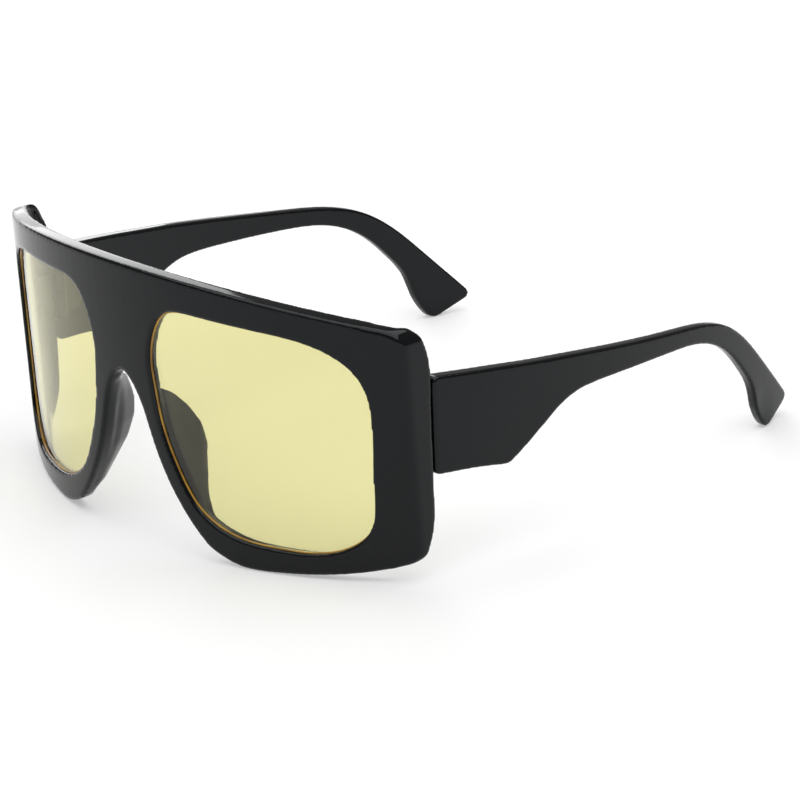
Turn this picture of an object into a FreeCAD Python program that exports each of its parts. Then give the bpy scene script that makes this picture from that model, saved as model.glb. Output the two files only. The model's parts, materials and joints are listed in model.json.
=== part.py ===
"""Oversized wrapped sunglasses: a moulded front, two lenses and two folding temples.

Millimetres.  +X is the wearer's left, the front looks along -Y, +Z is up from the
table.  The glasses stand open on the bottoms of the rims and on the temple tips.
The origin is the middle of their footprint on the table.
"""
import FreeCAD
import Part
import math
import os

# Moulded front
front_height = 75.0           # table to the top of the brow at the centre
brow_drop = 10.1              # how much lower the brow is at its ends
side_half = 73.6              # centre plane to the outside of the side walls
wrap_radius = 110.0           # outer skin of the front, seen from above
front_lean = 2.8              # degrees that the top stands ahead of the bottom
rim_depth = 4.2               # front skin to back skin
side_wall = 4.0               # thickness of the side walls behind the corner
side_length = 5.55            # front corner to the temple joint
corner_radius = 3.0           # soft upright edge between the front and the sides
inner_corner_radius = 2.0     # the same turn on the inside
brow_corner_radius = 7.5      # upper outer corners, seen from the front
rim_corner_radius = 5.5       # lower outer corners, seen from the front
side_end_run = 7.0            # rounded ends of the side walls, seen from the side: depth
side_end_rise = 13.5          # the same rounding, height
side_end_low = 4.6            # table to the lower rounded ends
outline_margin = 0.8          # how far the front outline is drawn past the side walls

# Lens openings, seen from the front
bridge_width = 21.0           # between the two openings at their closest
outer_rim = 7.6               # opening to the outside of the side walls
brow_rim = 9.6                # opening to the top of the brow
opening_bottom = 6.5          # table to the lowest point of the opening
# outline of an opening: from its nose side across, from its bottom up
opening_shares = (
    (0.000, 0.690), (0.030, 0.880), (0.110, 0.983), (0.280, 1.000),
    (0.600, 0.972), (0.850, 0.908), (0.957, 0.810), (1.000, 0.600),
    (0.990, 0.300), (0.952, 0.100), (0.860, 0.028), (0.600, 0.000),
    (0.380, 0.028), (0.210, 0.120), (0.100, 0.290), (0.025, 0.500),
)

# Lower edge of the rims and the nose arch, seen from the front
bridge_depth = 29.0           # top of the brow to the top of the nose arch
nose_foot_half = 24.4         # centre plane to the foot of the arch
nose_foot_height = 3.9
nose_arch_shares = (
    (0.000, 1.000), (0.190, 0.900), (0.300, 0.745), (0.437, 0.500),
    (0.656, 0.250), (0.840, 0.100), (1.000, 0.000),
)
rim_end_height = 6.0          # table to the bottom of the rims at their outer ends
rim_bottom_shares = (
    (0.085, 0.290), (0.180, 0.045), (0.270, 0.000), (0.380, 0.035), (0.640, 0.230), (1.000, 1.000),
)

# Lenses
lens_thickness = 2.0
lens_set_back = 1.3           # front skin of the frame to the front of the lens
lens_seat = 1.0               # how far the lens reaches into its groove
lens_clearance = 0.05

# Nose pads, moulded on the back of the front
pad_reach = 13.4              # front of the rims to the back edge of the pads
pad_cover = 1.5               # rim left in front of the pads
pad_root = 3.4                # thickness of a pad where it leaves the rim
pad_swell = 0.9               # how far the two faces of a pad bulge
pad_edge = 0.8                # rounding of the back edge of a pad
# back edge of a pad: height, distance from the centre plane, depth
pad_shares = (
    (0.100, 1.010, 0.390), (0.196, 0.881, 0.649), (0.326, 0.743, 0.731), (0.457, 0.640, 0.898),
    (0.587, 0.582, 1.000), (0.696, 0.537, 0.955), (0.804, 0.467, 0.761), (0.880, 0.377, 0.552),
    (0.945, 0.225, 0.160),
)

# Temples
temple_thickness = 4.0        # at the joint
tip_thickness = 3.0           # at the rear end
temple_bow_radius = 303.0     # outer face, seen from above
temple_heading = 8.0          # degrees that the temple leaves the joint outwards
joint_gap = 0.3               # temple butt to the side wall, open
butt_rise = 12.0              # hinge to the top of the butt
butt_fall = 13.4              # hinge to the bottom of the butt
butt_radius = 1.6             # rounded corners of the butt, seen from the side
step_length = 21.8            # butt to the end of the deep part
step_fall = 15.6              # hinge to the lowest corner of the deep part
step_radius = 2.2
temple_length = 138.4         # butt to the rear corner of the tip
tip_rear_height = 4.6
tip_rear_radius = 1.8
tip_low_share = 0.9205        # where the tip stands on the table, along the temple
tip_low_radius = 2.4          # rounding of the tip where it stands on the table
tip_notch_share = 0.866       # the small notch above the flared tip, along the temple
tip_notch_height = 11.4
# upper and lower edge: along the temple, height
temple_top_shares = (
    (0.177, 0.939), (0.394, 0.857), (0.591, 0.780), (0.690, 0.738), (0.757, 0.684),
    (0.820, 0.581), (0.868, 0.464), (0.905, 0.360), (0.943, 0.252),
)
temple_under_shares = (
    (0.853, 0.292), (0.828, 0.377), (0.792, 0.481), (0.742, 0.581), (0.690, 0.639),
    (0.590, 0.677), (0.433, 0.698), (0.325, 0.692), (0.280, 0.665), (0.231, 0.605),
)

# Hinges
hinge_drop = 35.0             # top of the brow to the middle of the barrels
barrel_radius = 1.6
barrel_length = 4.0
barrel_count = 3
barrel_gap = 0.1              # between neighbouring barrels
barrel_wall_gap = 0.15        # barrels to the plastic beside them
plate_thickness = 1.2
plate_length = 8.4            # hinge axis to the far end of a plate
plate_gap = 0.35              # barrels to the near edge of the other plate
anchor_width = 1.6            # square feet on a plate, moulded into the plastic
anchor_length = 1.6
anchor_back_share = 0.68      # place of the feet along a plate
anchor_spread_share = 0.27    # distance of each foot from the middle, of the height
screw_radius = 0.70
screw_clearance = 0.04
screw_head_radius = 1.25
screw_head_height = 0.7
slot_width = 0.35
slot_depth = 0.35

overrun = 20.0                # how far cutting and trimming solids run past the part
pick_tolerance = 0.05         # how near an edge lies to the place it is picked by
ring_samples = 40             # points that carry a widened lens outline
diagonal_share = math.sqrt(1 / 2)

lean = math.tan(math.radians(front_lean))
reach = side_half + outline_margin
side_inner = side_half - side_wall
opening_width = side_half - outer_rim - bridge_width / 2
opening_height = front_height - brow_rim - opening_bottom
nose_height = front_height - bridge_depth
hinge_height = front_height - hinge_drop
hinge_rise = barrel_count * barrel_length + (barrel_count - 1) * barrel_gap
axis_half = side_inner - barrel_wall_gap - barrel_radius
butt_top = hinge_height + butt_rise


def vec(x, y, z):
    return FreeCAD.Vector(x, y, z)


def curve(points):
    """Smooth edge through the points."""
    spline = Part.BSplineCurve()
    spline.interpolate(Points=points)
    return spline.toShape()


def ring(points):
    """Smooth closed curve through the points."""
    spline = Part.BSplineCurve()
    spline.interpolate(Points=points, PeriodicFlag=True)
    return spline


def quarter(points, leaves, arrives):
    """Smooth rounded corner through the points with these end directions."""
    spline = Part.BSplineCurve()
    spline.interpolate(Points=points, InitialTangent=leaves, FinalTangent=arrives)
    return spline.toShape()


def widened(outline, outset):
    """The closed curve of a front view, moved outwards by outset."""
    first, last = outline.FirstParameter, outline.LastParameter
    points = []
    for index in range(ring_samples):
        place = first + (last - first) * index / ring_samples
        outwards = outline.tangent(place)[0].cross(vec(0, 1, 0))
        points.append(outline.value(place) + outwards * outset)
    return ring(points)


def arc(start, middle, end):
    return Part.Arc(start, middle, end).toShape()


def line(start, end):
    return Part.makeLine(start, end)


def mirrored(shape):
    """The same piece for the other side of the face."""
    return shape.mirror(vec(0, 0, 0), vec(1, 0, 0))


def across(point):
    """The same point on the other side of the face."""
    return vec(-point.x, point.y, point.z)


def skin_y(x, set_back):
    """Depth at the table of the skin that lies set_back behind the front skin."""
    radius = wrap_radius - set_back
    return wrap_radius - math.sqrt(radius * radius - x * x)


joint_back = skin_y(side_half, 0) + side_length
joint_mid = joint_back + joint_gap / 2
butt_y = joint_back + joint_gap


def leaned(plan):
    """Upright prism of a plan drawn at the table, leaning with the front."""
    plan.translate(vec(0, 0, -overrun))
    prism = plan.extrude(vec(0, 0, front_height + 2 * overrun))
    prism.rotate(vec(0, 0, 0), vec(1, 0, 0), front_lean)
    return prism


def through_front(face):
    """Prism of a face drawn in the front view, through the whole depth."""
    depth = joint_back + 4 * overrun
    face.translate(vec(0, -2 * overrun, 0))
    return face.extrude(vec(0, depth, 0))


def rounded(prism, radius, picks):
    """The prism with the edges that picks accepts rounded."""
    return prism.makeFillet(radius, [edge for edge in prism.Edges if picks(edge)])


def shell():
    """The wrapped wall: outer skin, inner skin and the two side walls."""
    rear = joint_back + overrun
    outer_y = skin_y(side_half, 0)
    inner_y = skin_y(side_inner, rim_depth)
    edges = [
        arc(vec(-side_half, outer_y, 0), vec(0, 0, 0), vec(side_half, outer_y, 0)),
        line(vec(side_half, outer_y, 0), vec(side_half, rear, 0)),
        line(vec(side_half, rear, 0), vec(side_inner, rear, 0)),
        line(vec(side_inner, rear, 0), vec(side_inner, inner_y, 0)),
        arc(vec(side_inner, inner_y, 0), vec(0, rim_depth, 0), vec(-side_inner, inner_y, 0)),
        line(vec(-side_inner, inner_y, 0), vec(-side_inner, rear, 0)),
        line(vec(-side_inner, rear, 0), vec(-side_half, rear, 0)),
        line(vec(-side_half, rear, 0), vec(-side_half, outer_y, 0)),
    ]
    wall = Part.Face(Part.Wire(edges)).extrude(vec(0, 0, front_height))
    wall = rounded(wall, corner_radius, lambda edge: stands_at(edge, side_half, outer_y))
    wall = rounded(wall, inner_corner_radius, lambda edge: stands_at(edge, side_inner, inner_y))
    plans = [face for face in wall.Faces if face.BoundBox.ZMax < pick_tolerance]
    return leaned(plans[0])


def stands_at(edge, half, depth):
    """True for an upright edge of the wall at this place in the plan."""
    middle = edge.CenterOfMass
    return math.hypot(abs(middle.x) - half, middle.y - depth) < pick_tolerance


def opening_wire(outset):
    """Outline of the left lens opening, moved outwards by outset."""
    points = []
    for across_share, up_share in opening_shares:
        x = bridge_width / 2 + across_share * opening_width
        z = opening_bottom + up_share * opening_height
        points.append(vec(x, 0, z))
    outline = ring(points)
    if outset > 0:
        outline = widened(outline, outset)
    first, last = outline.FirstParameter, outline.LastParameter
    halfway = (first + last) / 2
    return Part.Wire([outline.toShape(first, halfway), outline.toShape(halfway, last)])


def opening_prism(outset):
    """The left lens opening as a prism through the front."""
    return through_front(Part.Face(opening_wire(outset)))


def nose_arch():
    """Points of the left half of the nose arch, from its top to its foot."""
    points = []
    for across_share, up_share in nose_arch_shares:
        x = across_share * nose_foot_half
        z = nose_foot_height + up_share * (nose_height - nose_foot_height)
        points.append(vec(x, 0, z))
    return points


def front_outline():
    """Brow, sides, rim bottoms and nose arch as one closed outline."""
    brow_end = front_height - brow_drop
    arch = nose_arch()
    foot = arch[-1]
    bottom = [foot]
    for across_share, up_share in rim_bottom_shares:
        x = foot.x + across_share * (reach - foot.x)
        bottom.append(vec(x, 0, up_share * rim_end_height))
    end = bottom[-1]
    edges = [
        arc(vec(-reach, 0, brow_end), vec(0, 0, front_height), vec(reach, 0, brow_end)),
        line(vec(reach, 0, brow_end), end),
        curve(list(reversed(bottom))),
        curve(list(reversed(arch)) + [across(point) for point in arch[1:]]),
        curve([across(point) for point in bottom]),
        line(across(end), vec(-reach, 0, brow_end)),
    ]
    return Part.Wire(edges)


def outline_prism():
    """Solid outline of the front with its four outer corners rounded."""
    prism = through_front(Part.Face(front_outline()))
    middle = front_height / 2
    prism = rounded(prism, brow_corner_radius,
                    lambda edge: is_end(edge) and edge.CenterOfMass.z > middle)
    return rounded(prism, rim_corner_radius,
                   lambda edge: is_end(edge) and edge.CenterOfMass.z < middle)


def is_end(edge):
    """True for the edges along the depth at the outer ends of the outline."""
    start, end = edge.Vertexes[0].Point, edge.Vertexes[-1].Point
    outside = min(abs(start.x), abs(end.x)) > reach - pick_tolerance
    return outside and abs(start.y - end.y) > joint_back


def side_prism():
    """Side view of the front: the joint plane and the rounded ends of the side walls."""
    front, back = -2 * overrun, joint_back - side_end_run
    low, high = -overrun, front_height + overrun
    bottom = side_end_low
    top = front_height - brow_drop * (side_inner / reach) ** 2
    run, rise = side_end_run * diagonal_share, side_end_rise * diagonal_share
    lower = [vec(0, back, bottom), vec(0, back + run, bottom + side_end_rise - rise),
             vec(0, joint_back, bottom + side_end_rise)]
    upper = [vec(0, joint_back, top - side_end_rise),
             vec(0, back + run, top - side_end_rise + rise), vec(0, back, top)]
    edges = [
        line(vec(0, front, low), vec(0, back, low)),
        line(vec(0, back, low), lower[0]),
        quarter(lower, vec(0, 1, 0), vec(0, 0, 1)),
        line(lower[-1], upper[0]),
        quarter(upper, vec(0, 0, 1), vec(0, -1, 0)),
        line(upper[-1], vec(0, back, high)),
        line(vec(0, back, high), vec(0, front, high)),
        line(vec(0, front, high), vec(0, front, low)),
    ]
    profile = Part.Face(Part.Wire(edges))
    profile.translate(vec(-side_half - overrun, 0, 0))
    return profile.extrude(vec(2 * side_half + 2 * overrun, 0, 0))


def moulded_front():
    """The wrapped front with its two openings."""
    body = shell().common(outline_prism()).common(side_prism())
    opening = opening_prism(0)
    return body.cut(opening).cut(mirrored(opening))


def lens(outset, clearance):
    """Left lens, or the groove for it where a clearance is given."""
    front = lens_set_back - clearance
    back = lens_set_back + lens_thickness + clearance
    wide = side_half - side_wall / 2
    edges = [
        arc(vec(-wide, skin_y(wide, front), 0), vec(0, front, 0), vec(wide, skin_y(wide, front), 0)),
        line(vec(wide, skin_y(wide, front), 0), vec(wide, skin_y(wide, back), 0)),
        arc(vec(wide, skin_y(wide, back), 0), vec(0, back, 0), vec(-wide, skin_y(wide, back), 0)),
        line(vec(-wide, skin_y(wide, back), 0), vec(-wide, skin_y(wide, front), 0)),
    ]
    return leaned(Part.Face(Part.Wire(edges))).common(opening_prism(outset))


def arch_half(height):
    """Half the width of the nose arch at a height above the table."""
    arch = nose_arch()
    for upper, lower in zip(arch, arch[1:]):
        if height >= lower.z:
            share = (height - lower.z) / (upper.z - lower.z)
            return lower.x + share * (upper.x - lower.x)
    return arch[-1].x


def nose_pad():
    """Left nose pad: a fin that leaves the nose side of the rim and opens towards the face."""
    wires = []
    for up_share, out_share, back_share in pad_shares:
        height = up_share * nose_height
        inner = arch_half(height)
        root_y = skin_y(inner, 0) - lean * height + pad_cover
        near = vec(inner, root_y, height)
        far = vec(inner + pad_root, root_y, height)
        tip = vec(out_share * nose_foot_half, back_share * pad_reach, height)
        aside = vec(pad_edge / 2, 0, 0)
        swell = vec(pad_swell, 0, 0)
        turn = vec(0, pad_edge, 0)
        turn_in, turn_out = tip - turn - 2 * aside, tip - turn + 2 * aside
        points = [near, (near + turn_in) / 2 - swell, turn_in, tip - aside, tip + aside,
                  turn_out, (far + turn_out) / 2 + swell, far, near]
        wires.append(Part.makePolygon(points))
    return Part.makeLoft(wires, True, True)


def upright(x, y, bottom, radius, height):
    return Part.makeCylinder(radius, height, vec(x, y, bottom))


def barrel_bottom(index):
    pitch = barrel_length + barrel_gap
    return hinge_height - hinge_rise / 2 + index * pitch


def hinge_leaf(side_sign, barrels, heading):
    """Left hinge leaf: plate, barrels and the feet that anchor it.

    side_sign is -1 for the leaf in the front and +1 for the leaf on the temple.
    """
    plate_x = side_inner - axis_half - plate_thickness
    near = barrel_radius + plate_gap
    low = hinge_height - hinge_rise / 2
    leaf = Part.makeBox(plate_thickness, plate_length - near, hinge_rise, vec(plate_x, near, low))
    for index in barrels:
        bottom = barrel_bottom(index)
        leaf = leaf.fuse(upright(0, 0, bottom, barrel_radius, barrel_length))
        web = Part.makeBox(plate_thickness, near, barrel_length, vec(plate_x, 0, bottom))
        leaf = leaf.fuse(web)
    for spread in (-anchor_spread_share, anchor_spread_share):
        place = vec(plate_x, anchor_back_share * plate_length - anchor_width / 2,
                    hinge_height + spread * hinge_rise - anchor_width / 2)
        length = plate_thickness + anchor_length
        leaf = leaf.fuse(Part.makeBox(length, anchor_width, anchor_width, place))
    bore = screw_radius
    if side_sign > 0:
        bore = screw_radius + screw_clearance
    leaf = leaf.cut(upright(0, 0, low - overrun, bore, hinge_rise + 2 * overrun))
    leaf = leaf.removeSplitter()
    if side_sign < 0:
        leaf = leaf.mirror(vec(0, 0, 0), vec(0, 1, 0))
    leaf.rotate(vec(0, 0, 0), vec(0, 0, 1), -heading)
    leaf.translate(vec(axis_half, joint_mid, 0))
    return leaf


def hinge_screw():
    """Left hinge screw with a slotted head."""
    low = hinge_height - hinge_rise / 2
    top = low + hinge_rise
    screw = upright(axis_half, joint_mid, low, screw_radius, hinge_rise)
    screw = screw.fuse(upright(axis_half, joint_mid, top, screw_head_radius, screw_head_height))
    across_head = 2 * screw_head_radius + 2 * slot_width
    slot = Part.makeBox(across_head, slot_width, slot_depth)
    slot.translate(vec(axis_half - across_head / 2, joint_mid - slot_width / 2,
                       top + screw_head_height - slot_depth))
    return screw.cut(slot).removeSplitter()


def temple_wall():
    """Upright bowed wall that the left temple is cut from, thinner towards the tip."""
    turn = math.radians(temple_heading)
    centre = vec(side_half - temple_bow_radius * math.cos(turn),
                 butt_y + temple_bow_radius * math.sin(turn), -overrun)
    bend = temple_length / temple_bow_radius
    shift = (temple_thickness - tip_thickness) / math.sin(bend)
    along = vec(math.sin(turn), math.cos(turn), 0)
    height = front_height + 2 * overrun
    outer = Part.makeCylinder(temple_bow_radius, height, centre)
    inner = Part.makeCylinder(temple_bow_radius - temple_thickness, height, centre + along * shift)
    return outer.cut(inner)


def temple_points(shares):
    """Places in the temple's side view, in shares of its length and butt height."""
    points = []
    for back_share, up_share in shares:
        points.append(vec(0, butt_y + back_share * temple_length, up_share * butt_top))
    return points


def tangent_point(centre, radius, point, turn):
    """Where a line from point touches the circle, in the side view."""
    away = point - centre
    direction = math.atan2(away.z, away.y)
    spread = math.acos(radius / away.Length)
    angle = direction - turn * spread
    return centre + vec(0, radius * math.cos(angle), radius * math.sin(angle))


def temple_prism():
    """Side view of the left temple, from the butt to the flared tip."""
    high = vec(0, butt_y, butt_top)
    deep = vec(0, butt_y, hinge_height - butt_fall)
    step = vec(0, butt_y + step_length, hinge_height - step_fall)
    rear = vec(0, butt_y + temple_length, tip_rear_height)
    notch = vec(0, butt_y + tip_notch_share * temple_length, tip_notch_height)
    heel = vec(0, butt_y + tip_low_share * temple_length, tip_low_radius)
    sole_end = tangent_point(heel, tip_low_radius, rear, 1)
    flare_start = tangent_point(heel, tip_low_radius, notch, -1)
    edges = [
        curve([high] + temple_points(temple_top_shares) + [rear]),
        line(rear, sole_end),
        arc(sole_end, heel - vec(0, 0, tip_low_radius), flare_start),
        line(flare_start, notch),
        curve([notch] + temple_points(temple_under_shares) + [step]),
        line(step, deep),
        line(deep, high),
    ]
    profile = Part.Face(Part.Wire(edges))
    profile.translate(vec(overrun, 0, 0))
    prism = profile.extrude(vec(side_half + overrun, 0, 0))
    for corner, radius in ((high, butt_radius), (deep, butt_radius), (step, step_radius),
                           (rear, tip_rear_radius)):
        prism = rounded(prism, radius, lambda edge: runs_through(edge, corner))
    return prism


def runs_through(edge, corner):
    """True for an edge across the temple at a corner of its side view."""
    ends = [vertex.Point for vertex in edge.Vertexes]
    return all(math.hypot(end.y - corner.y, end.z - corner.z) < pick_tolerance for end in ends)


def build():
    """Every piece of the glasses by name, standing open on the table."""
    front_leaf = hinge_leaf(-1, range(0, barrel_count, 2), 0)
    temple_leaf = hinge_leaf(1, range(1, barrel_count, 2), temple_heading)
    front = moulded_front()
    groove = lens(lens_seat + lens_clearance, lens_clearance)
    pad = nose_pad()
    for piece in (pad, mirrored(pad)):
        front = front.fuse(piece)
    for piece in (groove, front_leaf):
        front = front.cut(piece).cut(mirrored(piece))
    left = {
        "lens": lens(lens_seat, 0),
        "temple": temple_wall().common(temple_prism()).cut(temple_leaf),
        "hinge_front_leaf": front_leaf,
        "hinge_temple_leaf": temple_leaf,
        "hinge_screw": hinge_screw(),
    }
    pieces = {"front_frame": front}
    for name, shape in left.items():
        pieces[name + "_left"] = shape
        pieces[name + "_right"] = mirrored(shape)
    return pieces


def main():
    os.makedirs("parts", exist_ok=True)
    pieces = build()
    whole = Part.makeCompound(list(pieces.values())).optimalBoundingBox(False, False)
    middle = (whole.YMin + whole.YMax) / 2
    for name, shape in pieces.items():
        print(name, len(shape.Solids), shape.isValid(), round(shape.Volume, 1))
        solid = shape.Solids[0]
        solid.translate(vec(0, -middle, 0))
        solid.exportStep(os.path.join("parts", name + ".step"))
    print("hinge axis", axis_half, joint_mid - middle, hinge_height)
    print("size", whole.XLength, whole.YLength, whole.ZLength, whole.ZMin)


main()
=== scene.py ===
# %% [markdown]
# # Oversized wrapped sunglasses
# A thick black moulded front wraps round the face and turns back at both ends.
# It holds two large pale yellow lenses, and two broad temples fold on small metal hinges.
# The solids come from the CAD model and stay where they are.
# This lesson rounds the edges of the mouldings, adds a painted amber glow along the lens
# edges where the lenses catch light, gives each piece its finish, and sets up a white
# table, soft light and a camera.

# %% Load the imported model
import bpy
import json
import math
from mathutils import Euler, Matrix, Vector
from mathutils.kdtree import KDTree

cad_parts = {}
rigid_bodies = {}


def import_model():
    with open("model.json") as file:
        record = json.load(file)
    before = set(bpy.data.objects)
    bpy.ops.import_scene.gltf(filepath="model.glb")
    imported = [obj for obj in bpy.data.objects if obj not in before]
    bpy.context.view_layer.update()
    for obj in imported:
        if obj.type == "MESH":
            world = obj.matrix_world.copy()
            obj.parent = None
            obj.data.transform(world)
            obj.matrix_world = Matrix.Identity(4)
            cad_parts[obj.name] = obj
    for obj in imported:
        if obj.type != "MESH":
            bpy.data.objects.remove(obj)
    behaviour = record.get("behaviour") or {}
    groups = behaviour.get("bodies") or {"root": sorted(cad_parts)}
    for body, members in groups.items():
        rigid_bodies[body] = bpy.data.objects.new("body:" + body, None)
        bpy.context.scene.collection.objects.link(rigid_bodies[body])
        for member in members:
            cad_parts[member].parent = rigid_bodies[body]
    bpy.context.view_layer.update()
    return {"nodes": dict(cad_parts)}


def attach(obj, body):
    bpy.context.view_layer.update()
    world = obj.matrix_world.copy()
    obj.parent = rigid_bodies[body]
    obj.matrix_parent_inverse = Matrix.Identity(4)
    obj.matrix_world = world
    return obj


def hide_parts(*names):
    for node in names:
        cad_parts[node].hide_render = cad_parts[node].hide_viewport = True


bpy.ops.object.select_all(action="SELECT")
bpy.ops.object.delete()
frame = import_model()
nodes = frame["nodes"]
sides = {"left": 1, "right": -1}  # each side of the wearer, and the sign of X there
MM = 0.001
print("nodes:", sorted(nodes))

# %% [markdown]
# ## Soft moulded edges
# A moulding has no sharp edges: the tool's corners and the polishing leave a radius on
# each of them, and that radius carries the bright lines along the frame.
# A Bevel modifier could round them, but it needs a clean mesh, and a CAD mesh is long thin
# triangles.  Here a copy is remeshed finely, smoothed until its edges are round, and
# remeshed again at a coarser size.  The round edges are then wide enough for even faces.
# The grid of the remesh is turned against the piece, because an edge that runs nearly
# along the grid comes out in steps.

# %% Helpers for soft edges
TURN = Euler((0.35, 0.50, 0.60)).to_matrix().to_4x4()
JOIN = 0.002 * MM      # points closer than this are one point
FINE_FACE = 0.2 * MM   # size of the first, fine mesh
LAST_PASSES = 4        # light polish of the last, coarser mesh


def make_active(piece):
    bpy.ops.object.select_all(action="DESELECT")
    piece.select_set(True)
    bpy.context.view_layer.objects.active = piece


def merged_copy(node_name, piece_name):
    """A copy of a CAD node with its loose triangles joined up."""
    piece = bpy.data.objects.new(piece_name, nodes[node_name].data.copy())
    bpy.context.scene.collection.objects.link(piece)
    make_active(piece)
    bpy.ops.mesh.customdata_custom_splitnormals_clear()
    bpy.ops.object.mode_set(mode="EDIT")
    bpy.ops.mesh.select_all(action="SELECT")
    bpy.ops.mesh.remove_doubles(threshold=JOIN)
    bpy.ops.object.mode_set(mode="OBJECT")
    return piece


def even_mesh(piece, size):
    """Cover the piece with even faces of this size, on a grid turned away from its edges."""
    piece.data.transform(TURN)
    grid = piece.modifiers.new("even_mesh", "REMESH")
    grid.mode = "VOXEL"
    grid.voxel_size = size
    grid.use_smooth_shade = True
    bpy.ops.object.modifier_apply(modifier=grid.name)
    piece.data.transform(TURN.inverted())


def polish(piece, passes, group=""):
    """Smooth the piece, or one group of its points."""
    relax = piece.modifiers.new("polish", "SMOOTH")
    relax.factor = 0.5
    relax.iterations = passes
    relax.vertex_group = group
    bpy.ops.object.modifier_apply(modifier=relax.name)


def start_selection(piece, kind):
    """Deselect all of the piece in edit mode, and go back to object mode to pick in code."""
    make_active(piece)
    bpy.ops.object.mode_set(mode="EDIT")
    bpy.ops.mesh.select_mode(type=kind)
    bpy.ops.mesh.select_all(action="DESELECT")
    bpy.ops.object.mode_set(mode="OBJECT")


def select_faces(piece, picks):
    """Select the faces that picks accepts, and leave the piece in edit mode."""
    start_selection(piece, "FACE")
    for face in piece.data.polygons:
        face.select = picks(face)
    bpy.ops.object.mode_set(mode="EDIT")


def select_open_edges(piece, picks):
    """Select the open edges that picks accepts, and leave the piece in edit mode."""
    start_selection(piece, "EDGE")
    uses = {}
    for face in piece.data.polygons:
        for key in face.edge_keys:
            uses[key] = uses.get(key, 0) + 1
    for edge in piece.data.edges:
        edge.select = uses.get(edge.key, 0) == 1 and picks(edge)
    bpy.ops.object.mode_set(mode="EDIT")


def select_points(piece, picks):
    """Select the points that picks accepts, and leave the piece in edit mode."""
    start_selection(piece, "VERT")
    for vertex in piece.data.vertices:
        vertex.select = picks(vertex.co)
    bpy.ops.object.mode_set(mode="EDIT")


# %% [markdown]
# ## Depth in the wrapped front
# The front is part of a cylinder that leans back a little, and the lenses sit in a groove
# in the wall of each opening.  The two sides of that groove lie at fixed depths behind the
# outer skin, so a point of the front is best found by its depth.  A point is also known by
# its distance from the lens, and a search tree of points along the lens gives that fast.

# %% Measure a point's depth and its distance from the lens
WRAP = 110 * MM
LEAN = math.radians(2.8)
VERTEX_Y = -83.797 * MM  # foremost line of the skin, at table height
LENS_STEP = 0.8 * MM


def depth_behind_skin(point):
    """How far a point lies behind the wrapped front skin."""
    upright_y = (point.y - VERTEX_Y) * math.cos(LEAN) + point.z * math.sin(LEAN)
    return WRAP - math.hypot(point.x, WRAP - upright_y)


lens_points = []
for side in sides:
    lens = nodes[f"lens_{side}"].data
    for edge in lens.edges:
        start, end = (lens.vertices[index].co for index in edge.vertices)
        steps = max(1, round((end - start).length / LENS_STEP))
        lens_points += [start.lerp(end, step / steps) for step in range(steps + 1)]
near_lens = KDTree(len(lens_points))
for index, point in enumerate(lens_points):
    near_lens.insert(point, index)
near_lens.balance()


def from_lens(point):
    """Distance of a point from the nearest lens."""
    return near_lens.find(point)[2]


print("points along the lenses:", len(lens_points))

# %% [markdown]
# ## The front without its lens groove
# Nothing of the groove shows once the lens is in it, and its thin lips would wear away when
# the mesh is smoothed.  So the front's copy loses it: the faces on its sides and floor are
# selected and deleted, which leaves two open rims round each lens opening.

# %% Take out the lens groove
GROOVE_FRONT = 1.25 * MM
GROOVE_BACK = 3.35 * MM
CLOSE = 0.02 * MM
FLOOR_REACH = 1.6 * MM  # the groove's floor lies within this of the lens
front_moulding = merged_copy("front_frame", "front_moulding")
mesh = front_moulding.data


def in_groove(point):
    """Whether a point belongs to the groove: on a side of it, or on its floor."""
    depth = depth_behind_skin(point)
    on_side = min(abs(depth - GROOVE_FRONT), abs(depth - GROOVE_BACK)) < CLOSE
    on_floor = GROOVE_FRONT < depth < GROOVE_BACK and from_lens(point) < FLOOR_REACH
    return on_side or on_floor


groove = [in_groove(vertex.co) for vertex in mesh.vertices]
select_faces(front_moulding, lambda face: all(groove[index] for index in face.vertices))
bpy.ops.mesh.delete(type="FACE")
bpy.ops.object.mode_set(mode="OBJECT")
print("front without its groove:", len(mesh.polygons), "faces")

# %% [markdown]
# ## A plain wall in each opening
# The front rim is copied first, because a fine amber line of painted glow is laid along it,
# where the lens edge catches light.
# Bridge Edge Loops is the usual way to join two rims.  Here the front rim is extruded
# instead, and each new point goes to the nearest point of the back rim, so that no face
# runs askew.  Merging the points then closes the wall.

# %% Copy the front rims and close the walls
RIM_BAND = 4 * CLOSE


def rim_at(sign, depth):
    """A test for the edges of one opening's rim at this depth."""
    def picks(edge):
        start, end = (mesh.vertices[index].co for index in edge.vertices)
        middle = (start + end) / 2
        return middle.x * sign > 0 and abs(depth_behind_skin(middle) - depth) < RIM_BAND
    return picks


def nearest(points, here):
    """The nearest of the points to a place, seen from the front."""
    return min(points, key=lambda p: math.hypot(p.x - here.x, p.z - here.z))


painted_glow_rims = {}
for side, sign in sides.items():
    select_open_edges(front_moulding, rim_at(sign, GROOVE_FRONT))
    bpy.ops.mesh.duplicate()
    bpy.ops.mesh.separate(type="SELECTED")
    bpy.ops.object.mode_set(mode="OBJECT")
    # This copy of the rim becomes the painted amber glow line along the lens edge.
    painted_glow_rims[side] = [piece for piece in bpy.context.selected_objects if piece != front_moulding][0]
    painted_glow_rims[side].name = f"painted_edge_glow_{side}"
for sign in sides.values():
    select_open_edges(front_moulding, rim_at(sign, GROOVE_BACK))
    bpy.ops.object.mode_set(mode="OBJECT")
    back_rim = [vertex.co.copy() for vertex in mesh.vertices if vertex.select]
    select_open_edges(front_moulding, rim_at(sign, GROOVE_FRONT))
    bpy.ops.mesh.extrude_edges_move()
    bpy.ops.object.mode_set(mode="OBJECT")
    for vertex in mesh.vertices:
        if vertex.select:
            vertex.co = nearest(back_rim, vertex.co.copy())
make_active(front_moulding)
bpy.ops.object.mode_set(mode="EDIT")
bpy.ops.mesh.select_all(action="SELECT")
bpy.ops.mesh.remove_doubles(threshold=JOIN)
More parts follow.
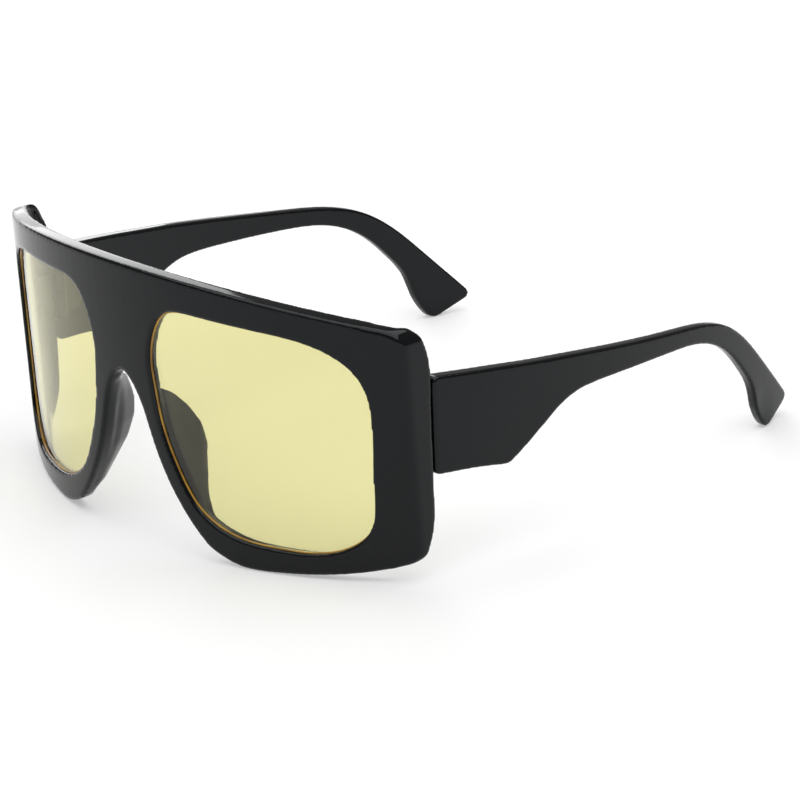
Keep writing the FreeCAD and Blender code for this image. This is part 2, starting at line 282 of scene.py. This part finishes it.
bpy.ops.mesh.normals_make_consistent(inside=False)
bpy.ops.mesh.select_all(action="DESELECT")
bpy.ops.mesh.select_non_manifold()
bpy.ops.object.mode_set(mode="OBJECT")
still_open = sum(1 for edge in mesh.edges if edge.select)
print("front with its groove closed:", len(mesh.polygons), "faces,", still_open, "open edges")

# %% [markdown]
# ## Soft-edged front
# The front is one thick wrapped moulding.  Its lower edges, the nose pads and the inside of
# its turned ends are rounder than the brow and the lens openings.  All edges get the same
# first polish, and the points in those three places get a second, longer one.

# %% Soft edges on the front
make_active(front_moulding)
even_mesh(front_moulding, FINE_FACE)
polish(front_moulding, 24)


def polish_some(piece, passes, picks):
    """Smooth only the points that picks accepts."""
    group = piece.vertex_groups.new(name="some")
    group.add([v.index for v in piece.data.vertices if picks(v.co)], 1.0, "REPLACE")
    polish(piece, passes, group.name)
    piece.vertex_groups.clear()


def lower_edge(point):
    return point.z < 48 * MM and from_lens(point) > 3.2 * MM


def nose_pad(point):
    behind_rim = depth_behind_skin(point) > 3.5 * MM
    return abs(point.x) < 21 * MM and point.z < 44 * MM and behind_rim


def inner_corner(point):
    return 65 * MM < abs(point.x) < 72.3 * MM and point.z > 60 * MM


polish_some(front_moulding, 60, lower_edge)
polish_some(front_moulding, 120, nose_pad)
polish_some(front_moulding, 150, inner_corner)
even_mesh(front_moulding, 0.46 * MM)
polish(front_moulding, LAST_PASSES)
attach(front_moulding, "front")
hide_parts("front_frame")
print("front moulding faces:", len(front_moulding.data.polygons))

# %% [markdown]
# ## Soft-edged temples
# The temples are flat bars with well rounded long edges, so they get the same treatment.
# On the real ones the step under the deep end and the heel of the tip are a little fuller
# than in the solids, so both are pulled out first.  Moving only a few points would leave a
# spike, so proportional editing takes along what lies round them.

# %% Soft edges on the temples
temple_bars = []
GRIP = 1.0 * MM  # the points within this of a place are pulled
fuller = (       # in millimetres: place and move as Y and Z, then the reach of the pull
    ((-20, 30), (1.6, -1.6), 20),    # step under the deep end
    ((73.5, 5.2), (-0.9, -0.3), 7),  # heel of the tip
)


def pull(bar, place, move, reach):
    """Pull the outline at a place, and what lies round it."""
    y, z = (value * MM for value in place)
    select_points(bar, lambda point: math.hypot(point.y - y, point.z - z) < GRIP)
    bpy.ops.transform.translate(value=(0, move[0] * MM, move[1] * MM),
                                use_proportional_edit=True,
                                proportional_edit_falloff="SMOOTH",
                                proportional_size=reach * MM)
    bpy.ops.object.mode_set(mode="OBJECT")


for side in sides:
    bar = merged_copy(f"temple_{side}", f"temple_bar_{side}")
    even_mesh(bar, FINE_FACE)
    for place, move, reach in fuller:
        pull(bar, place, move, reach)
    polish(bar, 40)
    even_mesh(bar, 0.42 * MM)
    polish(bar, LAST_PASSES)
    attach(bar, f"{side}_temple")
    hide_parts(f"temple_{side}")
    temple_bars.append(bar)
    print(bar.name, "faces:", len(bar.data.polygons))

# %% [markdown]
# ## Painted glow along the lens edges
# Dyed plastic gathers light and gives it off at its edges.  That glow is painted here as a
# fine opaque amber line along the wall of each opening, where the lens meets it.  The copied
# rim becomes a curve, the curve gets a round section with a radius of a third of a
# millimetre, and it is made a mesh again.

# %% Painted amber glow lines along the lenses
LINE_RADIUS = 0.32 * MM
# Each copied rim becomes a thin tube that paints the glow of the lens edge.
for rim in painted_glow_rims.values():
    make_active(rim)
    bpy.ops.object.convert(target="CURVE")
    rim.data.bevel_depth = LINE_RADIUS
    rim.data.bevel_resolution = 2
    bpy.ops.object.convert(target="MESH")
    bpy.ops.object.shade_smooth()
    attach(rim, "front")
    print(rim.name, "faces:", len(rim.data.polygons))

# %% [markdown]
# ## Node helpers
# Every finish below is a small node tree: a Principled shader, a few textures on
# Object coordinates and a bump.  A few short helpers keep the cells readable.
# A value that is the same all over the surface is set on the shader itself.

# %% Helpers for the finishes
def new_finish(name):
    finish = bpy.data.materials.new(name)
    finish.use_nodes = True
    tree = finish.node_tree
    shader = tree.nodes["Principled BSDF"]
    place = tree.nodes.new("ShaderNodeTexCoord")
    return finish, tree, shader, place.outputs["Object"]


def noise(tree, vector, scale, detail, stretch=(1, 1, 1)):
    mapping = tree.nodes.new("ShaderNodeMapping")
    mapping.inputs["Scale"].default_value = stretch
    tree.links.new(vector, mapping.inputs["Vector"])
    texture = tree.nodes.new("ShaderNodeTexNoise")
    texture.inputs["Scale"].default_value = scale
    texture.inputs["Detail"].default_value = detail
    tree.links.new(mapping.outputs["Vector"], texture.inputs["Vector"])
    return texture.outputs["Fac"]


def ramp(tree, value, low, high, start=0.0, end=1.0):
    stops = tree.nodes.new("ShaderNodeValToRGB")
    stops.color_ramp.elements[0].position = start
    stops.color_ramp.elements[0].color = (*low, 1)
    stops.color_ramp.elements[1].position = end
    stops.color_ramp.elements[1].color = (*high, 1)
    tree.links.new(value, stops.inputs["Fac"])
    return stops.outputs["Color"]


def spread(tree, value, low, high, start=0.0, end=1.0):
    span = tree.nodes.new("ShaderNodeMapRange")
    span.inputs["From Min"].default_value = start
    span.inputs["From Max"].default_value = end
    span.inputs["To Min"].default_value = low
    span.inputs["To Max"].default_value = high
    tree.links.new(value, span.inputs["Value"])
    return span.outputs["Result"]


def bump(tree, shader, height, strength, distance):
    relief = tree.nodes.new("ShaderNodeBump")
    relief.inputs["Strength"].default_value = strength
    relief.inputs["Distance"].default_value = distance
    tree.links.new(height, relief.inputs["Height"])
    tree.links.new(relief.outputs["Normal"], shader.inputs["Normal"])


def dress(finish, *pieces):
    for piece in pieces:
        piece.data.materials.clear()
        piece.data.materials.append(finish)


# %% [markdown]
# ## Black moulded plastic
# The front and the temples are injection moulded and polished, so they are nearly black
# and mirror the table and the light boxes.  Polished plastic is never perfectly flat:
# a broad, very shallow waviness bends the reflections, and fine haze varies the gloss.

# %% Finish of the front and temples
plastic, tree, shader, at = new_finish("black_moulded_plastic")
flow = noise(tree, at, 55, 2)
haze = noise(tree, at, 900, 4)
tint = ramp(tree, flow, (0.0014, 0.0016, 0.0020), (0.0024, 0.0026, 0.0030))
tree.links.new(tint, shader.inputs["Base Color"])
tree.links.new(spread(tree, haze, 0.03, 0.09), shader.inputs["Roughness"])
shader.inputs["IOR"].default_value = 1.33
shader.inputs["Specular Tint"].default_value = (0.94, 0.97, 1.0, 1)
bump(tree, shader, flow, 0.06, 0.3 * MM)
dress(plastic, front_moulding, *temple_bars)
dress(plastic, nodes["front_frame"], nodes["temple_left"], nodes["temple_right"])
print("black plastic on the front and both temples")

# %% [markdown]
# ## Yellow lenses
# The lenses are clear polycarbonate dyed pale yellow.  A clear solid that bends light
# needs transmission, and the dye goes in as the colour of the transmitted light.
# A slight drift of the dye keeps the lens from looking like flat film.

# %% Finish of the lenses
lens_yellow, tree, shader, at = new_finish("yellow_lens")
drift = noise(tree, at, 18, 1)
dye = ramp(tree, drift, (0.762, 0.722, 0.347), (0.782, 0.742, 0.373))
tree.links.new(dye, shader.inputs["Base Color"])
shader.inputs["Transmission Weight"].default_value = 1.0
shader.inputs["Roughness"].default_value = 0.0
shader.inputs["IOR"].default_value = 1.45
dress(lens_yellow, *[nodes[f"lens_{side}"] for side in sides])
print("yellow dye in both lenses")

# %% [markdown]
# ## Painted glow of the lens edges
# Light that has run a long way through the dye comes out amber, and this colour paints that
# glow.  It isn't even: the painted glow is brighter where more light reaches the edge, so a
# slow noise moves it between amber and brown.

# %% Painted glow colour of the lens edges
painted_amber_glow, tree, shader, at = new_finish("painted_amber_edge_glow")
glimmer = noise(tree, at, 120, 2)
# Painted glow: the base colour runs from dim brown to bright amber, standing in for light
# leaving the lens edge.
painted_glow_tint = ramp(tree, glimmer, (0.20, 0.085, 0.006), (0.56, 0.31, 0.04), 0.3, 0.75)
tree.links.new(painted_glow_tint, shader.inputs["Base Color"])
tree.links.new(spread(tree, glimmer, 0.10, 0.25), shader.inputs["Roughness"])
# The amber base colour on these tubes is painted glow, not the lens's own colour.
dress(painted_amber_glow, *painted_glow_rims.values())
print("amber on both lens edges")

# %% [markdown]
# ## Hinge metal
# The hinge leaves and screws are turned and stamped steel with a black nickel plating, and
# brushed along their length.  A noise that is stretched along the leaf gives the fine lines.

# %% Finish of the hinges and screws
steel, tree, shader, at = new_finish("black_nickel")
brush = noise(tree, at, 2500, 3, (1, 0.08, 1))
metal = ramp(tree, brush, (0.045, 0.045, 0.048), (0.080, 0.080, 0.085))
tree.links.new(metal, shader.inputs["Base Color"])
shader.inputs["Metallic"].default_value = 1.0
tree.links.new(spread(tree, brush, 0.22, 0.38), shader.inputs["Roughness"])
bump(tree, shader, brush, 0.25, 0.05 * MM)
for name in ("hinge_front_leaf", "hinge_temple_leaf", "hinge_screw"):
    dress(steel, *[nodes[f"{name}_{side}"] for side in sides])
print("black nickel on the hinges")

# %% [markdown]
# ## White table
# The object stands on a plain white table.  The table takes the shadow as a diffuse
# surface, and to the camera, to reflections and through the lenses it also glows a
# little.  The glow takes over away from the object, where the lamps no longer reach, so
# that the table stays white up to the edges of the picture.

# %% Table
bpy.ops.object.select_all(action="DESELECT")
bpy.ops.mesh.primitive_plane_add(size=6, location=(0, 0, 0))
table = bpy.context.object
table.name = "table"
white = bpy.data.materials.new("white_table")
white.use_nodes = True
tree = white.node_tree
tree.nodes.clear()
output = tree.nodes.new("ShaderNodeOutputMaterial")
mix = tree.nodes.new("ShaderNodeMixShader")
matt = tree.nodes.new("ShaderNodeBsdfDiffuse")
matt.inputs["Color"].default_value = (0.90, 0.90, 0.90, 1)
glow = tree.nodes.new("ShaderNodeEmission")
glow.inputs["Color"].default_value = (1, 1, 1, 1)
glow.inputs["Strength"].default_value = 1.0
tree.links.new(matt.outputs["BSDF"], mix.inputs[1])
tree.links.new(glow.outputs["Emission"], mix.inputs[2])
tree.links.new(mix.outputs["Shader"], output.inputs["Surface"])


def calculate(tree, operation, first, second):
    math_node = tree.nodes.new("ShaderNodeMath")
    math_node.operation = operation
    tree.links.new(first, math_node.inputs[0])
    tree.links.new(second, math_node.inputs[1])
    return math_node.outputs["Value"]


def seen_directly(tree):
    """1 for rays from the camera, in reflections and through glass, else 0."""
    rays = tree.nodes.new("ShaderNodeLightPath").outputs
    seen = calculate(tree, "MAXIMUM", rays["Is Camera Ray"], rays["Is Glossy Ray"])
    return calculate(tree, "MAXIMUM", seen, rays["Is Transmission Ray"])


place = tree.nodes.new("ShaderNodeTexCoord")
away = tree.nodes.new("ShaderNodeVectorMath")
away.operation = "LENGTH"
tree.links.new(place.outputs["Object"], away.inputs[0])
glow_share = spread(tree, away.outputs["Value"], 0.40, 1.0, start=0.25, end=0.90)
share = calculate(tree, "MULTIPLY", seen_directly(tree), glow_share)
tree.links.new(share, mix.inputs["Fac"])
table.data.materials.append(white)
print("table", table.dimensions[:])

# %% [markdown]
# ## Light
# A large soft box overhead does most of the work.  A second one stands behind the
# glasses, on the right of the wearer, and puts the pale band along the top of the brow.
# A low one under it does the same for the brow's turned end.  The rest of the room is dim,
# so that polished black stays black between its bright lines.

# %% Room and soft boxes
world = bpy.data.worlds.new("studio")
bpy.context.scene.world = world
world.use_nodes = True
room = world.node_tree.nodes["Background"]
room.inputs["Color"].default_value = (1, 1, 1, 1)
room.inputs["Strength"].default_value = 0.30


def soft_box(name, place, width, height, power):
    """A rectangular lamp that faces the middle of the glasses."""
    bpy.ops.object.select_all(action="DESELECT")
    bpy.ops.object.light_add(type="AREA", location=place)
    lamp = bpy.context.object
    lamp.name = name
    lamp.data.shape = "RECTANGLE"
    lamp.data.size = width
    lamp.data.size_y = height
    lamp.data.energy = power
    middle = Vector((0, 0, 0.03))
    lamp.rotation_euler = (Vector(place) - middle).to_track_quat("Z", "Y").to_euler()
    print(name, "at", place, "with", power, "W")


soft_box("overhead_box", (0.10, -0.10, 1.6), 2.4, 2.4, 36)
soft_box("back_box", (-1.06, 0.51, 0.58), 0.7, 0.8, 6)
soft_box("low_box", (-1.06, 0.51, 0.10), 0.7, 0.2, 0.70)

# %% [markdown]
# ## Camera
# A long lens looks down on the glasses from the front left of the wearer.
# The camera leans a little, as a hand-held one does.

# %% Camera
view_azimuth = math.radians(47.585)
view_elevation = math.radians(20.939)
view_roll = math.radians(-2.278)
view_distance = 1.32809
view_target = Vector((0.0, 0.00669, 0.01127))
back = Vector((math.sin(view_azimuth) * math.cos(view_elevation),
               -math.cos(view_azimuth) * math.cos(view_elevation),
               math.sin(view_elevation)))
level = Vector((math.cos(view_azimuth), math.sin(view_azimuth), 0))
upright = level.cross(-back)
right = level * math.cos(view_roll) + upright * math.sin(view_roll)
up = upright * math.cos(view_roll) - level * math.sin(view_roll)
bpy.ops.object.select_all(action="DESELECT")
bpy.ops.object.camera_add()
camera = bpy.context.object
camera.data.sensor_width = 36
camera.data.lens = 230.13
camera.data.clip_start = 0.01
axes = Matrix((right, up, back)).transposed().to_4x4()
camera.matrix_world = Matrix.Translation(view_target + back * view_distance) @ axes
bpy.context.scene.camera = camera
bpy.context.scene.view_settings.view_transform = "Standard"
print("camera at", [round(v, 3) for v in camera.location])
